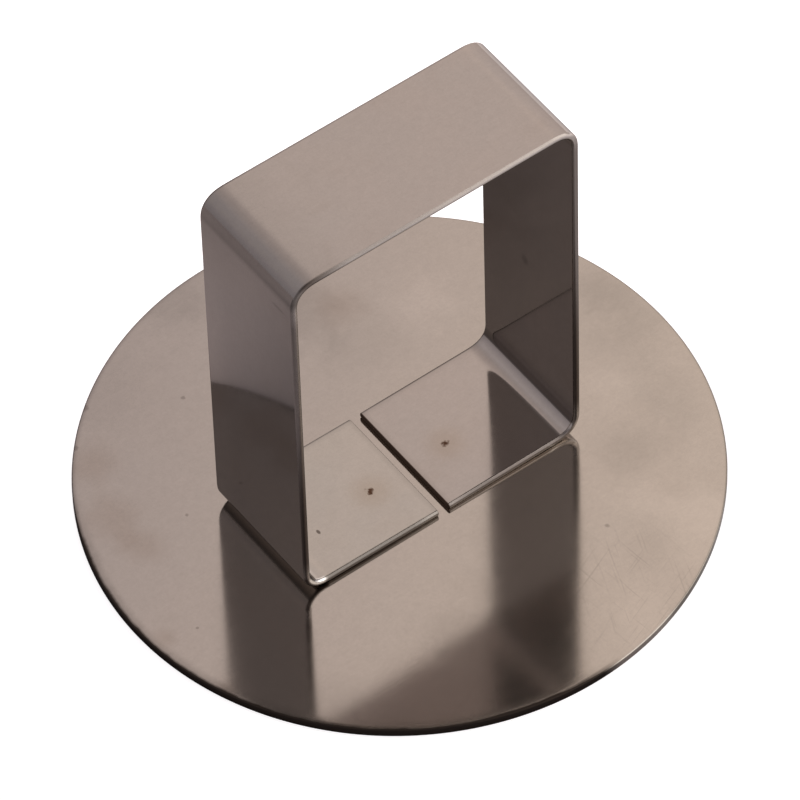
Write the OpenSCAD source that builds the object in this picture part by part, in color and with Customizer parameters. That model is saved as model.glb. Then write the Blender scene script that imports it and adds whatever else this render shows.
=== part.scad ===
// Food ring pusher: a round pressing disc with a strap handle spot-welded on it.
// The disc's flat underside lies on z = 0, with its centre on the origin.
// X runs along the handle's top, Y across the strap and Z up.

/* [Disc] */
// Diameter of the pressing disc, a little under the bore of the food ring
disc_d = 69; // [54:0.5:110]
// Thickness of the disc's sheet
disc_t = 1; // [0.8:0.1:2]
// Rounding of the disc's rim, above and below
rim_r = 0.2; // [0.05:0.05:0.35]

/* [Handle] */
// Length of the loop over its two legs
loop_l = 36; // [26:0.5:46]
// Height of the handle above the disc
handle_h = 49.5; // [25:0.5:80]
// Width of the strap
strap_w = 15.8; // [10:0.2:26]
// Thickness of the strap's sheet
strap_t = 0.8; // [0.6:0.1:1.5]
// Inside radius of the four bends
bend_r = 1.9; // [0.8:0.1:4]
// Rounding of the strap's two long edges, on both faces
edge_r = 0.25; // [0.05:0.05:0.25]
// Gap between the ends of the two feet
foot_gap = 1.4; // [0.6:0.1:4]
// Angle at which each foot springs up from its end to its bend
foot_spring = 0.5; // [0.1:0.1:3]

/* [Welds] */
// Diameter of each spot weld
weld_d = 3.6; // [2:0.1:5]
// Distance from a foot's end to the centre of its weld
weld_inset = 4.4; // [3.2:0.1:6.5]
// Depth of each weld into the disc, and at its centre into the foot
weld_depth = 0.4; // [0.2:0.05:0.45]

/* [Hidden] */
$fn = 96;

// Each foot is a micron slimmer all round than its bend and laps into it, to fuse as one sheet
micron = 0.001;
foot_lap = 0.02;

disc_r = disc_d / 2;
top_z = disc_t + handle_h;

// Outer and middle radius of a bend
bend_outer = bend_r + strap_t;
bend_mid = bend_r + strap_t / 2;

// The bends' centres in the plane of the loop, and the feet between bend and gap
bend_x = loop_l / 2 - bend_outer;
foot_start_x = bend_x + bend_outer * sin(foot_spring);
foot_len = (foot_start_x - foot_gap / 2) / cos(foot_spring);
foot_rise = foot_len * sin(foot_spring);
high_bend_z = top_z - bend_outer;

// The lower bends' height, taken up to a whole micron so that no foot bites into the disc
touch_z = disc_t + foot_rise + bend_outer * cos(foot_spring);
low_bend_z = ceil(touch_z / micron) * micron;

// The foot's underside stands this far off the disc at its weld
weld_x = foot_gap / 2 + weld_inset;
weld_gap = weld_inset * tan(foot_spring);
weld_low = disc_t - weld_depth;
weld_h = 2 * weld_depth + weld_gap;

// A rectangle with round corners, centred on the origin
module rounded_rect(size, r) {
    square([size.x - 2 * r, size.y], center = true);
    square([size.x, size.y - 2 * r], center = true);
    for (x = [-1, 1], y = [-1, 1])
        translate([x * (size.x / 2 - r), y * (size.y / 2 - r)]) circle(r);
}

// The strap cut across: its thickness along x and its width along y
module strap_section(slimmer) {
    rounded_rect([strap_t - 2 * slimmer, strap_w - 2 * slimmer], edge_r);
}

// A flat run of strap from the origin along -y, in the plane of the loop
module strap_run(length, slimmer = 0) {
    rotate([90, 0, 0]) linear_extrude(length) strap_section(slimmer);
}

// A bend about the origin, from angle a round to angle b, in the plane of the loop
module strap_bend(a, b) {
    rotate_extrude(angle = b - a, start = a) translate([bend_mid, 0]) strap_section(0);
}

// The right half of the loop: foot, lower bend, leg and upper bend
module half_loop() {
    translate([bend_x, low_bend_z]) {
        strap_bend(foot_spring - 90, 0);
        rotate([0, 0, foot_spring - 90])
            translate([bend_mid, foot_lap]) strap_run(foot_len + foot_lap, micron);
    }
    translate([bend_x + bend_mid, high_bend_z]) strap_run(high_bend_z - low_bend_z);
    translate([bend_x, high_bend_z]) strap_bend(0, 90);
}

// The whole strip, bent into an open square loop that stands on its two feet
module strap_loop() {
    rotate([90, 0, 0]) {
        translate([-bend_x, high_bend_z + bend_mid]) rotate([0, 0, 90]) strap_run(2 * bend_x);
        half_loop();
        mirror([1, 0, 0]) half_loop();
    }
}

// One nugget of weld metal under each foot, reaching into the foot and the disc
module weld_nuggets() {
    for (side = [-1, 1])
        translate([side * weld_x, 0, weld_low]) cylinder(d = weld_d, h = weld_h);
}

// The round blank with its rim rounded on both sides
module disc_blank() {
    rotate_extrude() {
        square([disc_r - rim_r, disc_t]);
        translate([0, rim_r]) square([disc_r, disc_t - 2 * rim_r]);
        for (z = [rim_r, disc_t - rim_r])
            translate([disc_r - rim_r, z]) circle(rim_r);
    }
}

module pressing_disc() {
    color([0.64, 0.58, 0.53]) difference() {
        disc_blank();
        weld_nuggets();
    }
}

module strap_handle() {
    color([0.66, 0.60, 0.55]) difference() {
        strap_loop();
        weld_nuggets();
    }
}

module spot_welds() {
    color([0.45, 0.38, 0.32]) weld_nuggets();
}

pressing_disc();
strap_handle();
spot_welds();
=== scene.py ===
"""A food ring pusher of bare steel sheet on a pale studio floor: a round pressing disc and the
bent strap handle that is spot-welded on it. Metres; the disc's underside lies on z = 0."""

import math

import bpy
from mathutils import Matrix, Vector


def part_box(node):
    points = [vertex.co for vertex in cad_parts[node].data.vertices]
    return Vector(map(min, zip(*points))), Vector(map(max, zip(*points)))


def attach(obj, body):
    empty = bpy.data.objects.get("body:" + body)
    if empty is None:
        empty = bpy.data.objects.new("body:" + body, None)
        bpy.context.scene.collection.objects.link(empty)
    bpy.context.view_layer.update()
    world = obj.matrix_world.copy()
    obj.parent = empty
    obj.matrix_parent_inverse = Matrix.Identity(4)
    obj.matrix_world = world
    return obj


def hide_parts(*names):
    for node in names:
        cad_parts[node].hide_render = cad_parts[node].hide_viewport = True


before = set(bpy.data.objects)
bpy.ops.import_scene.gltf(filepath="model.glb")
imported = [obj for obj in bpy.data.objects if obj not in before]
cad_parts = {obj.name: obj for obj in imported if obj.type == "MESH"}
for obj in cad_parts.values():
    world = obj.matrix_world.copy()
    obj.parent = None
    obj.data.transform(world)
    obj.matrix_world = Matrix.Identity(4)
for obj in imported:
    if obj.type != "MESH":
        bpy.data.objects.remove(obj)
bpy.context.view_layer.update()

MM = 0.001

# Sizes that the boxes of the CAD nodes give
disc_low, disc_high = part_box("pressing_disc")
strap_low, strap_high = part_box("strap_handle")
DISC_R = disc_high.x
DISC_T = disc_high.z - disc_low.z
LOOP_L = strap_high.x - strap_low.x
STRAP_W = strap_high.y - strap_low.y
TOP_Z = strap_high.z

# Sizes inside those boxes
RIM_R = 0.15 * MM
ROLL_WIDTH = 0.6 * MM
ROLL_ANGLE = math.radians(3.5)
STRAP_T = 0.8 * MM
BEND_R = 1.9 * MM
BEND_EASE = 1.8 * MM
EDGE_R = 0.37 * MM
END_BEVEL = 0.05 * MM
FOOT_GAP = 1.4 * MM
FOOT_SPRING = math.radians(0.5)
LOW_BEND_Z = 3.828 * MM

# Fineness of the built meshes
DISC_SIDES = 256
DISC_RINGS = 12
RUN_STEP = 2 * MM
BEND_STEP = 0.1 * MM
EASE_SAMPLES = 24
EDGE_STEPS = 8

# On the strap, in millimetres: the centre of the right lower bend as (x, z), and the height of the line
# where that bend begins
BEND_CENTRE = (15.3, 3.8)
BEND_LINE = 3.55

# Marks on the steel, in millimetres. On both sheets, as (x, y), the two weld burns
BURNS = ((-4.81, -1.36), (5.26, -1.04))
# On the strap, each a place and how much it is squashed: the left foot's speck as (y, x), and as (y, z)
# a crease on the left leg and a smudge inside the right one
SPECK = ((-2.4, -12.3), 1.8)
CREASE = ((-5.5, 46.0), 5.0)
SMUDGE = ((0.5, 21.9), 0.8)
# On the disc: brown stains and dark spots as (place, radius), darker and lighter clouds as (place,
# radius, gain), and where its right front is scuffed and in which ways, in degrees
STAINS = (
    ((-25.0, 20.3), 3.4), ((-27.7, 12.6), 3.4), ((-27.4, 8.0), 2.6), ((-32.6, -3.4), 1.5),
    ((-31.5, -12.5), 1.6), ((8.2, 21.4), 3.2),
)
SPOTS = (
    ((-12.6, 21.4), 0.28), ((-21.5, 8.4), 0.32), ((-29.3, -4.3), 0.22), ((-21.7, 26.6), 0.6),
    ((-25.6, 22.9), 0.5), ((12.5, -19.6), 0.35),
)
CLOUDS = (
    ((21.0, -13.0), 3.9, -0.11), ((27.2, -9.7), 3.6, -0.077), ((24.0, -4.8), 3.4, 0.055),
    ((18.0, -18.6), 2.6, 0.0495), ((14.6, -24.1), 3.0, -0.055), ((21.0, -25.0), 4.8, 0.099),
    ((30.0, 0.0), 4.6, -0.099), ((31.6, 5.4), 3.2, -0.132), ((3.0, 26.0), 6.5, -0.176),
    ((7.0, 16.0), 5.0, -0.055), ((-2.0, -30.0), 5.0, 0.033), ((15.3, 16.8), 4.0, 0.077),
    ((-8.7, -22.1), 4.0, -0.088), ((-23.9, -20.2), 3.0, -0.066), ((-5.0, 32.5), 4.5, -0.11),
    ((-18.6, 27.0), 6.0, -0.055), ((7.7, -31.4), 3.5, 0.055),
)
SCUFFED = (9.5, -28.0)
SCUFF_ANGLES = (-84.0, -112.0, -158.0)


# Mesh building


class Skin:
    """A mesh in the making: points, faces, and the true surface direction at each face corner."""

    def __init__(self):
        self.points, self.faces, self.directions = [], [], []

    def ring(self, points):
        """Adds points and returns their numbers."""
        start = len(self.points)
        self.points.extend(points)
        return list(range(start, len(self.points)))

    def face(self, corners, directions):
        """Adds one face with the surface direction at each of its corners."""
        self.faces.append(corners)
        self.directions.extend(directions)

    def band(self, first, second, first_directions, second_directions):
        """Closes the strip of faces between two closed rings of equal length."""
        count = len(first)
        for i in range(count):
            j = (i + 1) % count
            self.face(
                (first[i], first[j], second[j], second[i]),
                (first_directions[i], first_directions[j], second_directions[j], second_directions[i]),
            )

    def object(self, name, material):
        """Ends the mesh in a piece of its own."""
        mesh = bpy.data.meshes.new(name)
        mesh.from_pydata(self.points, [], self.faces)
        mesh.shade_smooth()
        mesh.normals_split_custom_set([tuple(d) for d in self.directions])
        mesh.materials.append(material)
        piece = bpy.data.objects.new(name, mesh)
        bpy.context.scene.collection.objects.link(piece)
        return piece


def arc(centre, radius, start, end, steps):
    """Points on an arc in a plane, each with its outward direction; angles in radians."""
    found = []
    for i in range(steps + 1):
        angle = start + (end - start) * i / steps
        out = (math.cos(angle), math.sin(angle))
        found.append(((centre[0] + radius * out[0], centre[1] + radius * out[1]), out))
    return found


def disc_profile():
    """The disc cut from its axis outwards and back below, as (radius, height) with directions.
    The shear that cut the blank has drawn its top down a little, just inside the rim."""
    flat = DISC_R - ROLL_WIDTH
    top = [((flat * i / DISC_RINGS, DISC_T), (0.0, 1.0)) for i in range(1, DISC_RINGS + 1)]
    roll_r = (ROLL_WIDTH - RIM_R * (1 - math.sin(ROLL_ANGLE))) / math.sin(ROLL_ANGLE)
    roll = arc((flat, DISC_T - roll_r), roll_r, math.pi / 2, math.pi / 2 - ROLL_ANGLE, EDGE_STEPS)
    drop = roll_r * (1 - math.cos(ROLL_ANGLE)) + RIM_R * math.cos(ROLL_ANGLE)
    upper = arc((DISC_R - RIM_R, DISC_T - drop), RIM_R, math.pi / 2 - ROLL_ANGLE, 0, EDGE_STEPS)
    lower = arc((DISC_R - RIM_R, RIM_R), RIM_R, 0, -math.pi / 2, EDGE_STEPS)
    bottom = [((radius, 0.0), (0.0, -1.0)) for (radius, _), _ in reversed(top)]
    return top + roll[1:] + upper[1:] + lower + bottom


def pressing_disc(material):
    """The round blank, turned from its profile."""
    skin = Skin()
    turns = [2 * math.pi * i / DISC_SIDES for i in range(DISC_SIDES)]
    rings, directions = [], []
    for (radius, height), (out, up) in disc_profile():
        rings.append(skin.ring([(radius * math.cos(a), radius * math.sin(a), height) for a in turns]))
        directions.append([(out * math.cos(a), out * math.sin(a), up) for a in turns])
    for i in range(len(rings) - 1):
        skin.band(rings[i + 1], rings[i], directions[i + 1], directions[i])
    for ring, height, up in ((rings[0], DISC_T, 1.0), (rings[-1], 0.0, -1.0)):
        (middle,) = skin.ring([(0.0, 0.0, height)])
        for i, here in enumerate(ring):
            after = ring[(i + 1) % DISC_SIDES]
            corners = (middle, here, after) if up > 0 else (middle, after, here)
            skin.face(corners, [(0.0, 0.0, up)] * 3)
    return skin.object("disc_blank", material)


def strap_section(inset):
    """The strap cut across, as (thickness, width) with directions; inset shrinks it all round."""
    half_t, half_w, radius = STRAP_T / 2 - inset, STRAP_W / 2 - inset, EDGE_R - inset
    outline = []
    for side_t, side_w, start in ((1, 1, 0), (-1, 1, 90), (-1, -1, 180), (1, -1, 270)):
        centre = (side_t * (half_t - radius), side_w * (half_w - radius))
        turn = math.radians(start)
        outline += arc(centre, radius, turn, turn + math.pi / 2, EDGE_STEPS)
    return outline


def bent_line():
    """The right half of the strip's middle line, from the foot's end over both bends to the middle of
    the top: runs of (length, start, direction as an angle, turn in radians over that length)."""
    middle = BEND_R + STRAP_T / 2
    bend_x = LOOP_L / 2 - BEND_R - STRAP_T
    leg = TOP_Z - BEND_R - STRAP_T - LOW_BEND_Z
    foot_x = bend_x + middle * math.sin(FOOT_SPRING)
    foot_z = LOW_BEND_Z - middle * math.cos(FOOT_SPRING)
    foot = (bend_x + (BEND_R + STRAP_T) * math.sin(FOOT_SPRING) - FOOT_GAP / 2) / math.cos(FOOT_SPRING)
    quarter, low_turn = math.pi / 2, math.pi / 2 - FOOT_SPRING
    end = (foot_x - foot * math.cos(FOOT_SPRING), foot_z - foot * math.sin(FOOT_SPRING))
    lengths = (foot, middle * low_turn, leg, middle * quarter, bend_x)
    turns = (0.0, low_turn, 0.0, quarter, 0.0)
    pieces, place, heading = [], end, FOOT_SPRING
    for length, turn in zip(lengths, turns):
        pieces.append((length, place, heading, turn))
        place, heading = along_piece(pieces[-1], length)
    return pieces


def along_piece(piece, distance):
    """The point at a distance along one run of the middle line, and the heading there."""
    length, (x, z), heading, turn = piece
    if turn == 0.0:
        return (x + distance * math.cos(heading), z + distance * math.sin(heading)), heading
    radius, now = length / turn, heading + turn * distance / length
    x += radius * (math.sin(now) - math.sin(heading))
    z -= radius * (math.cos(now) - math.cos(heading))
    return (x, z), now


def along_line(pieces, distance):
    """The point at a distance from the foot's end, mirrored past the middle of the top."""
    whole = sum(piece[0] for piece in pieces)
    if distance > whole:
        (x, z), heading = along_line(pieces, 2 * whole - distance)
        return (-x, z), -heading
    for piece in pieces[:-1]:
        if distance <= piece[0]:
            return along_piece(piece, distance)
        distance -= piece[0]
    return along_piece(pieces[-1], distance)


def eased(pieces, distance):
    """A point averaged over a short stretch, so that bends start and end softly, as in pressed sheet."""
    x = z = out_x = out_z = 0.0
    for i in range(EASE_SAMPLES):
        offset = ((i + 0.5) / EASE_SAMPLES - 0.5) * BEND_EASE
        (px, pz), heading = along_line(pieces, distance + offset)
        x, z = x + px, z + pz
        out_x, out_z = out_x + math.sin(heading), out_z - math.cos(heading)
    size = math.hypot(out_x, out_z)
    return (x / EASE_SAMPLES, z / EASE_SAMPLES), (out_x / size, out_z / size)


def strap_stations():
    """Stations on the middle line from the left foot's end to the right one's: each its point in the
    loop's plane and the direction out of the loop, close together in the bends."""
    pieces = bent_line()
    whole = sum(piece[0] for piece in pieces)
    marks, start = [], 0.0
    for length, _, _, turn in pieces:
        # The close stations of a bend take in the stretches over which it eases into its neighbours
        grow = BEND_EASE / 2 * (1 if turn else -1)
        first, last = start - grow, start + length + grow
        if start == 0.0:
            first = 0.0
        last = min(last, whole)
        count = math.ceil((last - first) / (BEND_STEP if turn else RUN_STEP))
        marks += [first + (last - first) * i / count for i in range(count)]
        start += length
    marks.append(whole)
    half = [eased(pieces, mark) for mark in marks]
    other = [((-x, z), (-out_x, out_z)) for (x, z), (out_x, out_z) in reversed(half[:-1])]
    return (half + other)[::-1]


def strap_ring(station, outline):
    """The strap's outline at a station: its points, and the surface's directions there."""
    (x, z), (out_x, out_z) = station
    points = [(x + t * out_x, w, z + t * out_z) for (t, w), _ in outline]
    return points, [Vector((dt * out_x, dw, dt * out_z)) for _, (dt, dw) in outline]


def cut_end(skin, ring, directions, away, points, is_first):
    """Closes an end of the strip. The end's own ring moves in by the bevel, and the points of a smaller
    outline close it."""
    for number in ring:
        skin.points[number] = tuple(Vector(skin.points[number]) - away * END_BEVEL)
    cap = skin.ring(points)
    slant = [(direction + away).normalized() for direction in directions]
    if is_first:
        skin.band(ring, cap, slant, slant)
        skin.face(cap, [away] * len(cap))
    else:
        skin.band(cap, ring, slant, slant)
        skin.face(cap[::-1], [away] * len(cap))


def strap_handle(material):
    """The strip swept along its bent middle line, with a small bevel round each cut end."""
    skin = Skin()
    stations = strap_stations()
    section, small = strap_section(0.0), strap_section(END_BEVEL)
    rings = []
    for station in stations:
        points, directions = strap_ring(station, section)
        rings.append((skin.ring(points), directions))
    for (first, from_first), (second, from_second) in zip(rings, rings[1:]):
        skin.band(second, first, from_second, from_first)
    for end, inner in ((0, 1), (-1, -2)):
        (x, z), (to_x, to_z) = stations[end][0], stations[inner][0]
        away = Vector((x - to_x, 0.0, z - to_z)).normalized()
        points, _ = strap_ring(stations[end], small)
        cut_end(skin, *rings[end], away, points, end == 0)
    return skin.object("strap_strip", material)


# Shader writing

# The sockets of a Mix node that mixes colours
MIX_SHARE, MIX_FIRST, MIX_SECOND, MIX_RESULT = 0, 6, 7, 2


def as_colour(value):
    """A plain number as a grey, and anything else as it is."""
    return (value, value, value, 1.0) if isinstance(value, (int, float)) else value


def as_vector(value):
    """A plain number as a vector, and anything else as it is."""
    return (value, value, value) if isinstance(value, (int, float)) else value


class Wire:
    """A shader socket that takes part in Python expressions, with the board it is drawn on."""

    def __init__(self, board, socket):
        self.board, self.socket = board, socket

    def join(self, other, operation, turned=False):
        """Joins the two by an operation, with the other one first if they are turned."""
        first, second = (other, self) if turned else (self, other)
        kinds = {wire.socket.type for wire in (first, second) if isinstance(wire, Wire)}
        if "RGBA" in kinds:
            return self.board.mix(as_colour(first), as_colour(second), 1.0, operation)
        kind = "ShaderNodeMath"
        if "VECTOR" in kinds:
            kind, first, second = "ShaderNodeVectorMath", as_vector(first), as_vector(second)
        return self.board.node(kind, {"operation": operation}, {0: first, 1: second})

    def __add__(self, other):
        return self.join(other, "ADD")

    def __radd__(self, other):
        return self.join(other, "ADD", True)

    def __sub__(self, other):
        return self.join(other, "SUBTRACT")

    def __rsub__(self, other):
        return self.join(other, "SUBTRACT", True)

    def __mul__(self, other):
        return self.join(other, "MULTIPLY")

    def __rmul__(self, other):
        return self.join(other, "MULTIPLY", True)

    def __truediv__(self, other):
        return self.join(other, "DIVIDE")

    def __pow__(self, other):
        return self.join(other, "POWER")

    def __abs__(self):
        return self.board.node("ShaderNodeMath", {"operation": "ABSOLUTE"}, {0: self})


class Board:
    """The nodes of one material or of the world."""

    def __init__(self, tree):
        self.tree = tree
        tree.nodes.clear()

    def node(self, kind, settings=(), sockets=(), out=0):
        """Makes a node: its type, its settings, the values or wires of its sockets, and its output."""
        made = self.tree.nodes.new(kind)
        for name, value in dict(settings).items():
            if name == "stops":
                self.set_stops(made.color_ramp, value)
            else:
                setattr(made, name, value)
        for name, value in dict(sockets).items():
            if isinstance(value, Wire):
                self.tree.links.new(value.socket, made.inputs[name])
            else:
                made.inputs[name].default_value = value
        return Wire(self, made.outputs[out]) if made.outputs else None

    def set_stops(self, ramp, stops):
        """Gives a ramp its stops of (position, colour)."""
        while len(ramp.elements) < len(stops):
            ramp.elements.new(1.0)
        for element, (position, colour) in zip(ramp.elements, stops):
            element.position, element.color = position, colour

    def mix(self, first, second, share, blend="MIX"):
        """From the first colour to the second as share goes from 0 to 1, or another blend of them."""
        settings = {"data_type": "RGBA", "blend_type": blend}
        sockets = {MIX_SHARE: share, MIX_FIRST: first, MIX_SECOND: second}
        return self.node("ShaderNodeMix", settings, sockets, MIX_RESULT)

    def place(self):
        """The point on the surface in millimetres, as (vector, x, y, z)."""
        spot = self.node("ShaderNodeTexCoord", out="Object") * (1 / MM)
        return (spot, *(self.node("ShaderNodeSeparateXYZ", sockets={0: spot}, out=i) for i in range(3)))

    def gather(self, x, y, z):
        """A vector from its three parts."""
        return self.node("ShaderNodeCombineXYZ", sockets={0: x, 1: y, 2: z})

    def noise(self, spot, scale, detail=2.0, roughness=0.5, distortion=0.0):
        """Cloudy noise from 0 to 1, with scale in patches a millimetre."""
        sockets = {"Vector": spot, "Scale": scale, "Detail": detail}
        sockets.update({"Roughness": roughness, "Distortion": distortion})
        return self.node("ShaderNodeTexNoise", sockets=sockets, out="Fac")

    def rise(self, value, begin, full):
        """0 before begin, 1 past full and a smooth step between. Either may be the larger one."""
        sockets = {"Value": value, "From Min": begin, "From Max": full}
        return self.node("ShaderNodeMapRange", {"interpolation_type": "SMOOTHSTEP"}, sockets)

    def distance(self, first, second, centre, squash=1.0):
        """How far a point is from a centre in a plane. Squash makes a round mark flatter the second way."""
        along, across = first - centre[0], (second - centre[1]) * squash
        return (along * along + across * across) ** 0.5

    def facing(self, direction, way):
        """The cosine between a direction and a fixed way."""
        sockets = {0: direction, 1: tuple(Vector(way).normalized())}
        return self.node("ShaderNodeVectorMath", {"operation": "DOT_PRODUCT"}, sockets, "Value")

    def shine(self, surface):
        """Ends the board in its surface."""
        self.node("ShaderNodeOutputMaterial", sockets={"Surface": surface})


def new_material(name):
    """A material and its empty board."""
    material = bpy.data.materials.new(name)
    material.use_nodes = True
    return material, Board(material.node_tree)


# Finishes

# The steel's own colours
STEEL = (0.395, 0.351, 0.325, 1.0)
STEEL_COOL = (0.37, 0.34, 0.322, 1.0)
STEEL_BROWN = (0.325, 0.275, 0.238, 1.0)
# Painted light on the disc: darker and cooler at the back left, brighter at the front right
DISC_BACK_SHADE = (0.363, 0.330, 0.316, 1.0)
DISC_FRONT_LIGHT = (0.482, 0.433, 0.376, 1.0)
# A painted highlight, laid on rounded edges that should catch the light
PAINTED_HIGHLIGHT = (0.88, 0.86, 0.84, 1.0)
GRAZING_TINT = (0.5, 0.5, 0.5, 1.0)

# The colours of its marks and of its painted shade, and the factor by which the left foot is paler
STAIN_BROWN = (0.285, 0.235, 0.205, 1.0)
RIM_DARK = (0.034, 0.027, 0.023, 1.0)
EDGE_DARK = (0.075, 0.058, 0.050, 1.0)
CUT_BROWN_AND_SHADE = (0.125, 0.088, 0.066, 1.0)
SCORCH = (0.10, 0.055, 0.035, 1.0)
HEAT_TINT = (0.30, 0.225, 0.155, 1.0)
WHITE = (1.0, 1.0, 1.0, 1.0)
FOOT_PALE = (1.07, 1.09, 1.065, 1.0)

# The noises of rolled sheet, from broad clouds down to speckle: how far each is shifted, then its scale,
# detail, roughness and distortion. Grain is stretched along the sheet, and waves are its slight bumps.
SHEET_NOISES = {
    "clouds": (0.0, 0.055, 2.0, 0.5, 0.6),
    "patches": (31.0, 0.16, 3.0, 0.6, 0.4),
    "mottle": (5.0, 1.1, 4.0, 0.65),
    "speckle": (0.0, 3.6, 3.0, 0.7),
    "waves": (7.0, 0.045, 1.0),
}
GRAIN_NOISE = (1.0, 3.0, 0.65)
# How finely the grain is drawn along and across each sheet, and over the strap's height
DISC_GRAIN, STRAP_GRAIN = (0.25, 5.0), (0.3, 6.0, 0.02)
# Where the clouds are cool and the patches brown, and how brown they are
COOL_CLOUDS = (0.35, 0.7)
BROWN_PATCHES = (0.5, 0.85)
BROWN_SHARE = 0.5
# What the noises change in the colour and the roughness, and how high they stand, in millimetres
NOISE_COLOUR = {"grain": 0.08, "speckle": 0.15, "mottle": 0.13}
NOISE_ROUGHNESS = {"grain": 0.05, "patches": 0.06}
NOISE_HEIGHT = {"waves": 0.05, "grain": 0.00025, "speckle": 0.0002}

# How rough each piece is, and what dirt and painted shade, a weld's pit and the cut end add to it
DISC_ROUGHNESS, STRAP_ROUGHNESS, WELD_ROUGHNESS = 0.105, 0.085, 0.35
DIRT_AND_SHADE_ROUGHNESS, PIT_ROUGHNESS, CUT_ROUGHNESS = 0.2, 0.3, 0.25

# The weld marks lie below this height. A pit and its heat tint begin and are full at these distances.
MARKS_LOW = (3.0, 2.4)
PIT_BORDER, PIT_RAGGED = (0.55, 0.1), 1.3
HEAT_BORDER, HEAT_SHARE = (3.2, 0.4), 0.25
BURN_NOISE = (2.2, 3.0)
# The left foot's speck, and the tiny ones: how far apart and how large they are, and where they lie
SPECK_BORDER, SPECK_SHARE = (0.40, 0.22), 0.8
STREWN_SCALE, STREWN_BORDER = 0.16, (0.035, 0.015)
STREWN_NOISE, STREWN_SHIFT, STREWN_CHANCE = (0.11, 1.0), 11.0, (0.5, 0.62)

# The disc is painted darker and cooler at the back left and brighter at the front right, as painted light,
# and its metal is a little less bright in front
FRONT_WAY = (0.65, -0.76)
DISC_LIGHT_RANGE, DISC_LIGHT_SHARE = (-42.0, 42.0), 0.85
DULL_RANGE, DULL_SHARE = (-6.0, 30.0), 0.05
# The borders of its marks in radii: how ragged, where a mark begins and where it is full
CLOUD_BORDER = (2.2, 1.5, 0.2)
STAIN_BORDER, STAIN_SHARE = (1.6, 1.35, 0.1), 0.38
SPOT_BORDER, SPOT_SHARE = (2.0, 1.0, 0.3), 0.36
# Its scuffs: how long and how fine, how many, where they fade out, and how dark
SCUFF_ALONG, SCUFF_ACROSS, SCUFF_SHIFT = 0.10, 3.2, 7.3
SCUFF_NOISE, SCUFF_CHANCE = (1.0, 2.0, 0.6), (0.60, 0.72)
SCUFF_BORDER, SCUFF_SHARE = (11.0, 3.0), 0.13
# The rim's ragged dirt and painted shade, and the way to the left front
RIM_NOISE, RIM_FRAYED = (0.5, 3.0, 0.6), 0.4
LEFT_WAY = (-0.86, -0.50)

# The tables below hold regions of the steel, in millimetres. A row has a strength and the ranges that
# bound the region: each names a place, the value at which the region begins and the one from which it is
# full. On the disc, reach is the distance from its middle, plain, frayed or blurred, and left is how far
# round a point lies to the left front, from -1 to 1.
LEFT_RIM = ("left", 0.40, 0.70)
RIGHT_FRONT = (("left", 0.50, 0.42), ("left", 0.15, 0.25), ("y", 0.0, -9.0))
RIM_DIRT_AND_SHADE = (
    # The fringe of dirt from the shear and of painted shade, thickest at the left front, with a soft border
    # inside it
    (0.72, ("frayed", 33.95, 34.4), LEFT_RIM),
    (0.06, ("frayed", 33.95, 34.4)),
    (0.30, ("blurred", 33.0, 34.3), LEFT_RIM),
    (0.35, ("reach", 33.85, 34.15), ("left", 0.40, 0.50), ("left", 0.82, 0.70), ("y", 0.0, -9.0)),
    # The dark outline all round, which is weaker where the rim has its painted highlight
    (0.42, ("reach", 34.28, 34.42)),
    (-0.252, ("reach", 34.28, 34.42), *RIGHT_FRONT),
    # Painted shade on the side of the sheet at the left front
    (0.60, ("z", 0.95, 0.3), ("reach", 34.3, 34.45), LEFT_RIM),
)
# A painted highlight on the rim at the right front
RIM_PAINTED_HIGHLIGHT = ((0.12, ("reach", 34.2, 34.4), *RIGHT_FRONT),)

# On the strap, out and across are x and y without their signs, bend is the distance from a lower bend's
# centre, and bend_line, crease and smudge are the distances from these marks
FOOT_LOW = ("z", 3.0, 2.6)
LEFT_FOOT = (("z", 3.0, 2.4), ("x", 0.5, -0.5))
RIGHT_LEG_INSIDE = (("x", 16.9, 17.1), ("x", 17.8, 17.5))
FRONT_EDGE = ("y", -7.35, -7.6)
LONG_EDGES = ("across", 7.5, 7.75)
EDGE_DIRT_AND_SHADE = (
    # Painted shade on the lower half of both legs, and on the upper half of the right one and of the left
    # one
    (0.85, ("out", 16.4, 16.9), ("z", 3.0, 7.0), ("z", 32.0, 14.0)),
    (0.60, ("x", 17.1, 17.5), ("z", 14.0, 32.0), ("z", 49.6, 46.5)),
    (0.42, ("x", -17.1, -17.5), ("z", 14.0, 32.0), ("z", 47.0, 44.0)),
    # Painted shade on the left upper bend, and on the left half of the top
    (0.68, ("x", -10.0, -16.0), ("z", 47.0, 48.5)),
    (0.22, ("z", 49.6, 50.1), ("x", 3.0, -5.0)),
    # Dirt and painted shadow under the left foot, painted shade on the outer side of its bend, and painted
    # shade that dulls the right foot
    (0.66, ("z", 1.65, 1.2), ("x", 6.0, -9.0)),
    (0.85, ("bend", 2.15, 2.45), ("x", -14.8, -15.3), ("z", 4.2, 3.4)),
    (0.56, ("z", 2.6, 2.2), ("z", 1.3, 1.5), ("x", -2.0, 5.0)),
)
LEFT_FOOT_EDGE_SHADE = (
    # Painted shade over the upper rounding of the left foot's front edge
    (0.45, ("y", -7.45, -7.62), ("z", 1.38, 1.5), ("z", 2.4, 2.1), ("x", 0.5, -4.5), ("x", -15.5, -14.9)),
)
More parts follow.
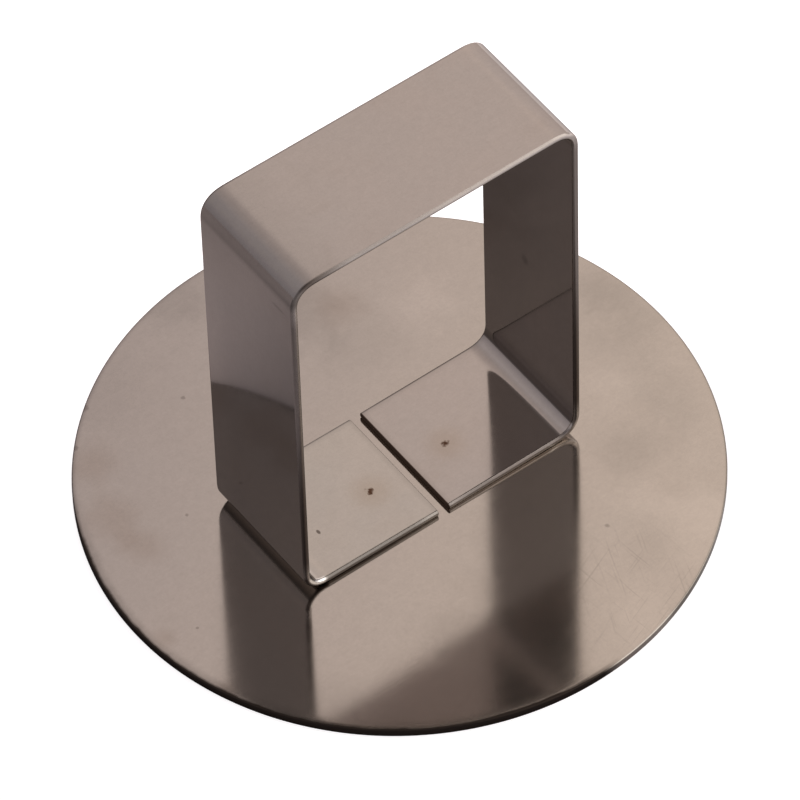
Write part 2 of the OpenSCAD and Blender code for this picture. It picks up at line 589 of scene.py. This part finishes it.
STRAP_SHADE_AND_SMUDGE = (
    # The feet's back edges, and their ends at the gap
    (0.12, ("y", 6.9, 7.7), FOOT_LOW),
    (0.12, ("out", 1.5, 0.7), FOOT_LOW),
    # Painted shade along the line where the right leg's lower bend begins and in the crease, and the smudge
    (0.22, ("bend_line", 0.7, 0.1), ("x", 16.6, 16.9)),
    (0.22, ("crease", 1.5, 0.4), ("x", -17.0, -17.8)),
    (0.22, ("smudge", 0.8, 0.2), *RIGHT_LEG_INSIDE),
    # Painted shade inside the right leg, more so at its back, under the top and at its left end
    (0.04, *RIGHT_LEG_INSIDE),
    (0.05, *RIGHT_LEG_INSIDE, ("y", -3.0, 6.0)),
    (0.07, ("out", 16.5, 14.5), ("z", 50.0, 49.8), ("z", 40.0, 45.0)),
    (0.08, ("x", -9.0, -15.0), ("z", 49.8, 50.3)),
)
STRAP_BRIGHT = (
    # A painted highlight on the back edge of the left leg, and the inside of the lower bends, which the
    # bending tool has rubbed
    (0.08, ("y", 3.0, 7.5), ("x", -17.3, -17.8)),
    (0.28, ("out", 15.8, 16.3), ("out", 17.3, 16.6), ("z", 3.3, 2.6)),
)
STRAP_PAINTED_HIGHLIGHTS = (
    # Painted highlights on the inner corner of the left foot's bend, and on the outer side of the right
    # one's
    (0.90, FRONT_EDGE, ("bend", 2.3, 2.1), ("x", -15.0, -15.6), ("z", 3.7, 3.0)),
    (0.54, FRONT_EDGE, ("bend", 2.4, 2.55), ("x", 13.5, 15.0), ("z", 3.2, 2.4)),
)
STRAP_ROUGHER = (
    # The legs are a little smoother, the long edges and the left upper bend rougher
    (-0.02, ("out", 16.0, 17.5)),
    (0.13, LONG_EDGES),
    (0.075, ("x", -15.8, -17.0), ("z", 44.5, 46.5)),
)
CUT_END = (("x", 0.82, 0.71), ("x", 0.0, 0.3), FOOT_LOW)
# The strap is painted a little cooler and darker to the left, as painted shade
LEFT_SHADE_RANGE, LEFT_SHADE_SHARE = (18.0, -18.0), 0.5


class Finish:
    """Bare rolled sheet while it is being finished: the places of a point on it, the noises of its
    surface, and its colour, roughness and metal so far."""

    def __init__(self, name, grain, roughness):
        self.material, self.board = new_material(name)
        board = self.board
        self.spot, x, y, z = board.place()
        self.places = {"x": x, "y": y, "z": z}
        self.noises = {kind: board.noise(self.spot + shift, *values)
                       for kind, (shift, *values) in SHEET_NOISES.items()}
        self.noises["grain"] = board.noise(grain(board, x, y, z), *GRAIN_NOISE)
        self.colour = board.mix(STEEL, STEEL_COOL, board.rise(self.noises["clouds"], *COOL_CLOUDS))
        self.tint(STEEL_BROWN, board.rise(self.noises["patches"], *BROWN_PATCHES) * BROWN_SHARE)
        self.roughness = roughness + self.ragged(NOISE_ROUGHNESS)
        self.metallic = 1.0

    def ragged(self, shares):
        """Noises that swing round 0, each by its share."""
        return sum((self.noises[kind] - 0.5) * share for kind, share in shares.items())

    def region(self, *ranges):
        """How far a point lies inside a region, from 0 to 1."""
        rises = [self.board.rise(self.places[name], begin, full) for name, begin, full in ranges]
        inside = rises[0]
        for rise in rises[1:]:
            inside = inside * rise
        return inside

    def layers(self, table):
        """The strengths of a table's regions, added up."""
        return sum(self.region(*ranges) * strength for strength, *ranges in table)

    def tint(self, colour, share):
        """Brings the colour so far nearer to another one."""
        self.colour = self.board.mix(self.colour, colour, share)

    def lay_dirt_and_shade(self, colour, share):
        """Lays a dark colour as dirt and as painted shade, which is also rougher than the steel."""
        self.tint(colour, share)
        self.roughness = self.roughness + share * DIRT_AND_SHADE_ROUGHNESS

    def weather(self):
        """Lays grain, speckle and mottle over the colours so far."""
        self.colour = self.colour * (1.0 + self.ragged(NOISE_COLOUR))

    def close(self):
        """Ends the board in the steel's shader, with its waves, grain and speckle as bumps."""
        height = sum(self.noises[kind] * rise for kind, rise in NOISE_HEIGHT.items())
        bump = {"Strength": 1.0, "Distance": MM, "Height": height}
        sockets = {"Base Color": self.colour, "Metallic": self.metallic, "Roughness": self.roughness}
        sockets["Normal"] = self.board.node("ShaderNodeBump", sockets=bump)
        sockets["Specular Tint"] = GRAZING_TINT
        self.board.shine(self.board.node("ShaderNodeBsdfPrincipled", sockets=sockets))
        return self.material


def along_x(board, x, y, z):
    """Grain that runs along x, as in the disc's sheet."""
    along, across = DISC_GRAIN
    return board.gather(x * along, y * across, z)


def along_strip(board, x, y, z):
    """Grain that runs along the strap, round its bends."""
    along, across, upward = STRAP_GRAIN
    return board.gather((x + z) * along, y * across, z * upward)


def specks(finish):
    """One dark speck on the left foot, and tiny ones strewn thinly over the sheet."""
    board, spot = finish.board, finish.spot
    away = board.distance(finish.places["y"], finish.places["x"], *SPECK)
    sockets = {"Vector": spot, "Scale": STREWN_SCALE}
    near = board.node("ShaderNodeTexVoronoi", sockets=sockets, out="Distance")
    chance = board.noise(spot + STREWN_SHIFT, *STREWN_NOISE)
    strewn = board.rise(near, *STREWN_BORDER) * board.rise(chance, *STREWN_CHANCE)
    return board.rise(away, *SPECK_BORDER) + strewn


def weld_marks(finish):
    """The scorched pit over each spot weld with its faint heat tint, and specks of dirt."""
    board, places = finish.board, finish.places
    low = board.rise(places["z"], *MARKS_LOW)
    ragged = (board.noise(finish.spot, *BURN_NOISE) - 0.5) * PIT_RAGGED
    burns = [board.distance(places["x"], places["y"], centre) + ragged for centre in BURNS]
    pits = sum(board.rise(away, *PIT_BORDER) for away in burns) * low
    finish.tint(HEAT_TINT, sum(board.rise(away, *HEAT_BORDER) for away in burns) * low * HEAT_SHARE)
    finish.tint(SCORCH, pits)
    finish.tint(EDGE_DARK, specks(finish) * low * SPECK_SHARE)
    finish.roughness = finish.roughness + pits * PIT_ROUGHNESS


def disc_places(finish):
    """Adds the places that the disc's tables name."""
    board, places = finish.board, finish.places
    x, y = places["x"], places["y"]
    reach = board.distance(x, y, (0.0, 0.0))
    ragged = board.noise(finish.spot, *RIM_NOISE) - 0.5
    places.update({"reach": reach, "frayed": reach + ragged * RIM_FRAYED, "blurred": reach + ragged})
    places["left"] = (x * LEFT_WAY[0] + y * LEFT_WAY[1]) / reach


def blot(finish, noise, border, centre, radius):
    """One mark on the disc with a ragged border, from 1 in its middle to 0 outside."""
    fray, begin, full = (radius * share for share in border)
    away = finish.board.distance(finish.places["x"], finish.places["y"], centre)
    return finish.board.rise(away + (finish.noises[noise] - 0.5) * fray, begin, full)


def scuffs(finish):
    """Fine straight scratches that cross each other on the disc's right front."""
    board, x, y = finish.board, finish.places["x"], finish.places["y"]
    found = 0.0
    for number, angle in enumerate(SCUFF_ANGLES):
        turn = math.radians(angle)
        along = x * math.cos(turn) + y * math.sin(turn)
        across = y * math.cos(turn) - x * math.sin(turn)
        lines = board.gather(along * SCUFF_ALONG, across * SCUFF_ACROSS, SCUFF_SHIFT * number)
        found = board.rise(board.noise(lines, *SCUFF_NOISE), *SCUFF_CHANCE) + found
    return found * board.rise(board.distance(x, y, SCUFFED), *SCUFF_BORDER)


def disc_painted_light_and_marks(finish):
    """Painted light on the disc, from darker and cooler at the back left to brighter at the front right,
    with its clouds, stains, spots and scuffs."""
    board, places = finish.board, finish.places
    forward = places["x"] * FRONT_WAY[0] + places["y"] * FRONT_WAY[1]
    # The painted light, darker at the back left and brighter at the front right
    shade = board.mix(DISC_BACK_SHADE, DISC_FRONT_LIGHT, board.rise(forward, *DISC_LIGHT_RANGE))
    finish.tint(shade, DISC_LIGHT_SHARE)
    clouds = sum(blot(finish, "patches", CLOUD_BORDER, *mark) * gain for *mark, gain in CLOUDS)
    stained = sum(blot(finish, "patches", STAIN_BORDER, *mark) for mark in STAINS)
    spotted = sum(blot(finish, "mottle", SPOT_BORDER, *mark) for mark in SPOTS)
    finish.colour = finish.colour * (1.0 + clouds)
    finish.tint(STAIN_BROWN, stained * STAIN_SHARE)
    finish.tint(EDGE_DARK, spotted * SPOT_SHARE)
    finish.colour = finish.colour * (1.0 - scuffs(finish) * SCUFF_SHARE)
    finish.metallic = 1.0 - board.rise(forward, *DULL_RANGE) * DULL_SHARE


def disc_finish():
    """The disc's steel with painted light from its back left to its front right, the marks of the welds,
    and a rim darkened by dirt and painted shade at the left front and given a painted highlight at the
    right one."""
    finish = Finish("disc_steel", along_x, DISC_ROUGHNESS)
    disc_places(finish)
    disc_painted_light_and_marks(finish)
    # Painted highlight on the rim at the right front
    finish.tint(PAINTED_HIGHLIGHT, finish.layers(RIM_PAINTED_HIGHLIGHT))
    finish.weather()
    weld_marks(finish)
    # Dirt and painted shade round the rim, darkest at the left front
    finish.lay_dirt_and_shade(RIM_DARK, finish.layers(RIM_DIRT_AND_SHADE))
    return finish.close()


def strap_places(finish):
    """Adds the places that the strap's tables name."""
    board, places = finish.board, finish.places
    x, y, z = places["x"], places["y"], places["z"]
    places.update({"out": abs(x), "across": abs(y), "bend_line": abs(z - BEND_LINE)})
    places["bend"] = board.distance(places["out"], z, BEND_CENTRE)
    places["crease"] = board.distance(y, z, *CREASE)
    places["smudge"] = board.distance(y, z, *SMUDGE)


def strap_colours(finish):
    """The strap's colour, painted cooler and darker to the left, with rubbed bends, a painted highlight, a
    smudge and painted shade.
    """
    board = finish.board
    left_shade = board.mix(STEEL, STEEL_COOL, board.rise(finish.places["x"], *LEFT_SHADE_RANGE))
    finish.tint(left_shade, LEFT_SHADE_SHARE)
    finish.colour = finish.colour * board.mix(WHITE, FOOT_PALE, finish.region(*LEFT_FOOT))
    # Rubbed bends and a painted highlight, then a smudge and painted shade
    bright, dark = finish.layers(STRAP_BRIGHT), finish.layers(STRAP_SHADE_AND_SMUDGE)
    finish.colour = finish.colour * (1.0 + bright) * (1.0 - dark)


def strap_finish():
    """The strap's steel, with the marks of the welds, edges darkened by dirt and painted shade, painted
    highlights on two bends, and one brown cut end darkened as painted shade.
    """
    finish = Finish("strap_steel", along_strip, STRAP_ROUGHNESS)
    strap_places(finish)
    strap_colours(finish)
    finish.roughness = finish.roughness + finish.layers(STRAP_ROUGHER)
    finish.weather()
    weld_marks(finish)
    # Dirt and painted shade on the strap's long edges
    finish.lay_dirt_and_shade(EDGE_DARK, finish.region(LONG_EDGES) * finish.layers(EDGE_DIRT_AND_SHADE))
    # The right foot's cut end at the gap: brown and rough, and darkened as painted shade
    cut = finish.region(*CUT_END)
    finish.tint(CUT_BROWN_AND_SHADE, cut)
    finish.roughness = finish.roughness + cut * CUT_ROUGHNESS
    # Painted highlights on two bend edges
    finish.tint(PAINTED_HIGHLIGHT, finish.layers(STRAP_PAINTED_HIGHLIGHTS))
    # Painted shade on the left foot's front edge
    finish.lay_dirt_and_shade(RIM_DARK, finish.layers(LEFT_FOOT_EDGE_SHADE))
    return finish.close()


def weld_finish():
    """The duller metal of the welds."""
    finish = Finish("weld_metal", along_x, WELD_ROUGHNESS)
    finish.weather()
    return finish.close()


# The scene

# The room on the camera's side, to its left and to its right
ROOM_LEFT = (0.44, 0.415, 0.435, 1.0)
ROOM_RIGHT = (0.90, 0.83, 0.80, 1.0)
# The sky from far left to far right of the camera, over the back half of the room
BACK_SKY = (
    (0.0, (0.325, 0.303, 0.318, 1.0)),
    (0.014, (0.385, 0.355, 0.375, 1.0)),
    (0.035, (0.435, 0.40, 0.415, 1.0)),
    (0.065, (0.485, 0.45, 0.455, 1.0)),
    (0.15, (0.54, 0.505, 0.515, 1.0)),
    (0.205, (0.56, 0.52, 0.53, 1.0)),
    (0.262, (0.615, 0.565, 0.565, 1.0)),
    (0.38, (0.685, 0.61, 0.59, 1.0)),
    (0.44, (0.785, 0.695, 0.665, 1.0)),
    (0.495, (1.02, 0.905, 0.85, 1.0)),
    (0.53, (1.10, 0.97, 0.90, 1.0)),
    (0.58, (1.04, 0.925, 0.87, 1.0)),
    (0.7, (1.0, 0.895, 0.855, 1.0)),
    (1.0, (0.85, 0.78, 0.76, 1.0)),
)
# The ways to the right and the back of the room, where the room goes from left to right, and where it
# gives way to the sky
RIGHTWARD = (0.8173, -0.5762, 0.0)
BACKWARD = (0.5762, 0.8173, 0.0)
ROOM_RANGE, SKY_RANGE = (0.3, 0.65), (0.15, -0.3)
# The dark part of the room behind the camera
DARK_WAY, DARK_RANGE, DARK_SHARE = (-0.25, -0.57, 0.78), (0.93, 0.985), 0.7

# The floor reaches this many metres to each side. It is painted from dim at the front to pale at the back,
# as a painted falloff of light, with a slight grain, and all its ranges are in millimetres.
FLOOR_HALF = 6.0
FLOOR_DIM = (0.50, 0.47, 0.49, 1.0)
FLOOR_PALE = (0.90, 0.84, 0.86, 1.0)
FLOOR_WAY, FLOOR_RANGE = (0.3, 0.86), (0.0, 18.0)
FLOOR_NOISE, FLOOR_GRAIN = (0.02, 3.0), 0.04
# It is painted darker beyond this distance to the left, as painted shade
BEYOND_RANGE, BEYOND_LEFT, BEYOND_SHARE = (38.0, 75.0), (0.0, -30.0), 0.55
# The light that lifts it to white for the camera. The steel sees the first share of that light near the
# object, and up to the second one farther off along these ways.
CAMERA_LIFT = 0.82
GLOSSY_NEAR, GLOSSY_FAR = 0.05, 0.55
GLOSSY_WAYS = (
    ((0.8, 0.5), (30.0, 170.0)),
    ((0.9, -0.45), (19.0, 30.0)),
    ((0.0, 1.0), (-42.0, -80.0)),
)

# The soft box: a part of a sphere round the object, its levels of light by the share of x on it, its
# lowest height and the angle of its back end
LAMP_REACH = 0.6
LAMP_TINT = (1.0, 0.96, 0.92)
LAMP_STOPS = (
    (0.355, 0.75), (0.362, 1.1), (0.367, 1.5), (0.375, 1.95),
    (0.385, 2.2), (0.40, 2.1), (0.45, 1.8), (0.9, 1.9),
)
LAMP_LIGHT = 3.0
LAMP_LOW = 0.12
LAMP_BACK = math.radians(93)
LAMP_ROWS, LAMP_COLUMNS = 16, 12

# The camera as it was fitted to the photograph: angles in degrees, metres, and the picture's pixels
CAMERA_AZIMUTH, CAMERA_ELEVATION, CAMERA_ROLL = -35.23, 51.297, -1.89
CAMERA_DISTANCE = 0.8428
CAMERA_CLIP = (0.05, 50.0)
SENSOR = 36.0
PICTURE_PX, FOCAL_PX, AIM_PX = 800, 8006.0, (399.464, 472.294)


def stage_sheet(name, points, faces, material):
    """A sheet of the studio, which isn't part of the object."""
    mesh = bpy.data.meshes.new(name)
    mesh.from_pydata(points, [], faces)
    mesh.materials.append(material)
    sheet = bpy.data.objects.new(name, mesh)
    bpy.context.scene.collection.objects.link(sheet)
    return sheet


def floor_paint():
    """Pale paper that the camera sees lifted to white. Near the object the steel sees mostly the paper's
    own lit shade, as the photograph's steel does; to the front and the far right it sees the lift too."""
    material, board = new_material("pale_floor")
    spot, x, y, _ = board.place()
    grain = board.noise(spot, *FLOOR_NOISE)
    # Painted shade far to the left, and a painted falloff of light from the front to the back
    beyond = board.rise(board.distance(x, y, (0.0, 0.0)), *BEYOND_RANGE) * board.rise(x, *BEYOND_LEFT)
    backward = board.rise(x * FLOOR_WAY[0] + y * FLOOR_WAY[1], *FLOOR_RANGE)
    shade = board.mix(FLOOR_DIM, FLOOR_PALE, backward)
    shade = shade * (1.0 - beyond * BEYOND_SHARE) * (1.0 + (grain - 0.5) * FLOOR_GRAIN)
    lifted = sum(board.rise(x * way[0] + y * way[1], *reach) for way, reach in GLOSSY_WAYS)
    glossy_share = lifted * (GLOSSY_FAR - GLOSSY_NEAR) + GLOSSY_NEAR
    rays = {kind: board.node("ShaderNodeLightPath", out=f"Is {kind} Ray")
            for kind in ("Camera", "Transmission", "Glossy")}
    seen = rays["Camera"] + rays["Transmission"] + rays["Glossy"] * glossy_share
    paper = board.node("ShaderNodeBsdfDiffuse", sockets={"Color": shade})
    lift = board.node("ShaderNodeEmission", sockets={"Color": WHITE, "Strength": seen * CAMERA_LIFT})
    board.shine(board.node("ShaderNodeAddShader", sockets={0: paper, 1: lift}))
    return material


def studio_floor():
    """One large square of paper under the object."""
    corners = [(x * FLOOR_HALF, y * FLOOR_HALF, 0.0) for x, y in ((-1, -1), (1, -1), (1, 1), (-1, 1))]
    floor = stage_sheet("studio_floor", corners, [(0, 1, 2, 3)], floor_paint())


def lamp_glow():
    """The soft box's light, by its levels from left to right."""
    material, board = new_material("soft_box")
    _, x, _, _ = board.place()
    stops = [
        (share, (*(level / LAMP_LIGHT * tint for tint in LAMP_TINT), 1.0))
        for share, level in LAMP_STOPS
    ]
    glow = board.node("ShaderNodeValToRGB", {"stops": stops}, {0: x * (MM / LAMP_REACH)})
    board.shine(board.node("ShaderNodeEmission", sockets={"Color": glow, "Strength": LAMP_LIGHT}))
    return material


def soft_box():
    """A curved soft box over the right front, whose light the rounded edges catch: a part of a sphere
    round the object, from a fixed share of x to the right."""
    left, right = LAMP_STOPS[0][0], LAMP_STOPS[-1][0]
    points, faces = [], []
    for i in range(LAMP_ROWS + 1):
        share = left + (right - left) * i / LAMP_ROWS
        ring = math.sqrt(1 - share * share)
        last = math.pi - math.asin(LAMP_LOW / ring)
        for j in range(LAMP_COLUMNS + 1):
            turn = LAMP_BACK + (last - LAMP_BACK) * j / LAMP_COLUMNS
            place = (share, ring * math.cos(turn), ring * math.sin(turn))
            points.append(tuple(LAMP_REACH * part for part in place))
    for i in range(LAMP_ROWS):
        for j in range(LAMP_COLUMNS):
            k = i * (LAMP_COLUMNS + 1) + j
            faces.append((k, k + 1, k + LAMP_COLUMNS + 2, k + LAMP_COLUMNS + 1))
    box = stage_sheet("soft_box", points, faces, lamp_glow())
    box.visible_camera = False


def studio_world():
    """A room lit softly from the back and right, and dark where the camera stands."""
    world = bpy.data.worlds.new("studio")
    bpy.context.scene.world = world
    world.use_nodes = True
    board = Board(world.node_tree)
    direction = board.node("ShaderNodeTexCoord", out="Generated")
    rightward = board.facing(direction, RIGHTWARD)
    backward = board.facing(direction, BACKWARD)
    sky = board.node("ShaderNodeValToRGB", {"stops": BACK_SKY}, {0: rightward * 0.5 + 0.5})
    room = board.mix(ROOM_LEFT, ROOM_RIGHT, board.rise(rightward, *ROOM_RANGE))
    light = board.mix(sky, room, board.rise(backward, *SKY_RANGE))
    dark = board.rise(board.facing(direction, DARK_WAY), *DARK_RANGE)
    light = light * (1.0 - dark * DARK_SHARE)
    shown = board.node("ShaderNodeBackground", sockets={"Color": light, "Strength": 1.0})
    board.node("ShaderNodeOutputWorld", sockets={"Surface": shown})


def photo_camera():
    """The camera at the photograph's own angle, distance and slight roll."""
    azimuth, elevation, roll = map(math.radians, (CAMERA_AZIMUTH, CAMERA_ELEVATION, CAMERA_ROLL))
    side = Vector((math.cos(azimuth), math.sin(azimuth), 0.0))
    front = Vector((math.sin(azimuth), -math.cos(azimuth), 0.0))
    back = front * math.cos(elevation) + Vector((0.0, 0.0, math.sin(elevation)))
    rise = back.cross(side)
    right = side * math.cos(roll) + rise * math.sin(roll)
    up = rise * math.cos(roll) - side * math.sin(roll)
    data = bpy.data.cameras.new("photo_camera")
    data.sensor_width = SENSOR
    data.lens = FOCAL_PX / PICTURE_PX * SENSOR
    data.clip_start, data.clip_end = CAMERA_CLIP
    camera = bpy.data.objects.new("photo_camera", data)
    shift_x = (AIM_PX[0] - PICTURE_PX / 2) * CAMERA_DISTANCE / FOCAL_PX
    shift_y = (PICTURE_PX / 2 - AIM_PX[1]) * CAMERA_DISTANCE / FOCAL_PX
    place = back * CAMERA_DISTANCE - right * shift_x - up * shift_y
    camera.matrix_world = Matrix.Translation(place) @ Matrix((right, up, back)).transposed().to_4x4()
    bpy.context.scene.collection.objects.link(camera)
    bpy.context.scene.camera = camera


disc_steel = disc_finish()
strap_steel = strap_finish()
weld_metal = weld_finish()

disc = pressing_disc(disc_steel)
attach(disc, "root")
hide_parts("pressing_disc")

strap = strap_handle(strap_steel)
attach(strap, "root")
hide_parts("strap_handle")

for material_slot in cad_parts["spot_welds"].material_slots:
    material_slot.material = weld_metal

studio_floor()
studio_world()
soft_box()
photo_camera()
bpy.context.scene.view_settings.view_transform = "Standard"
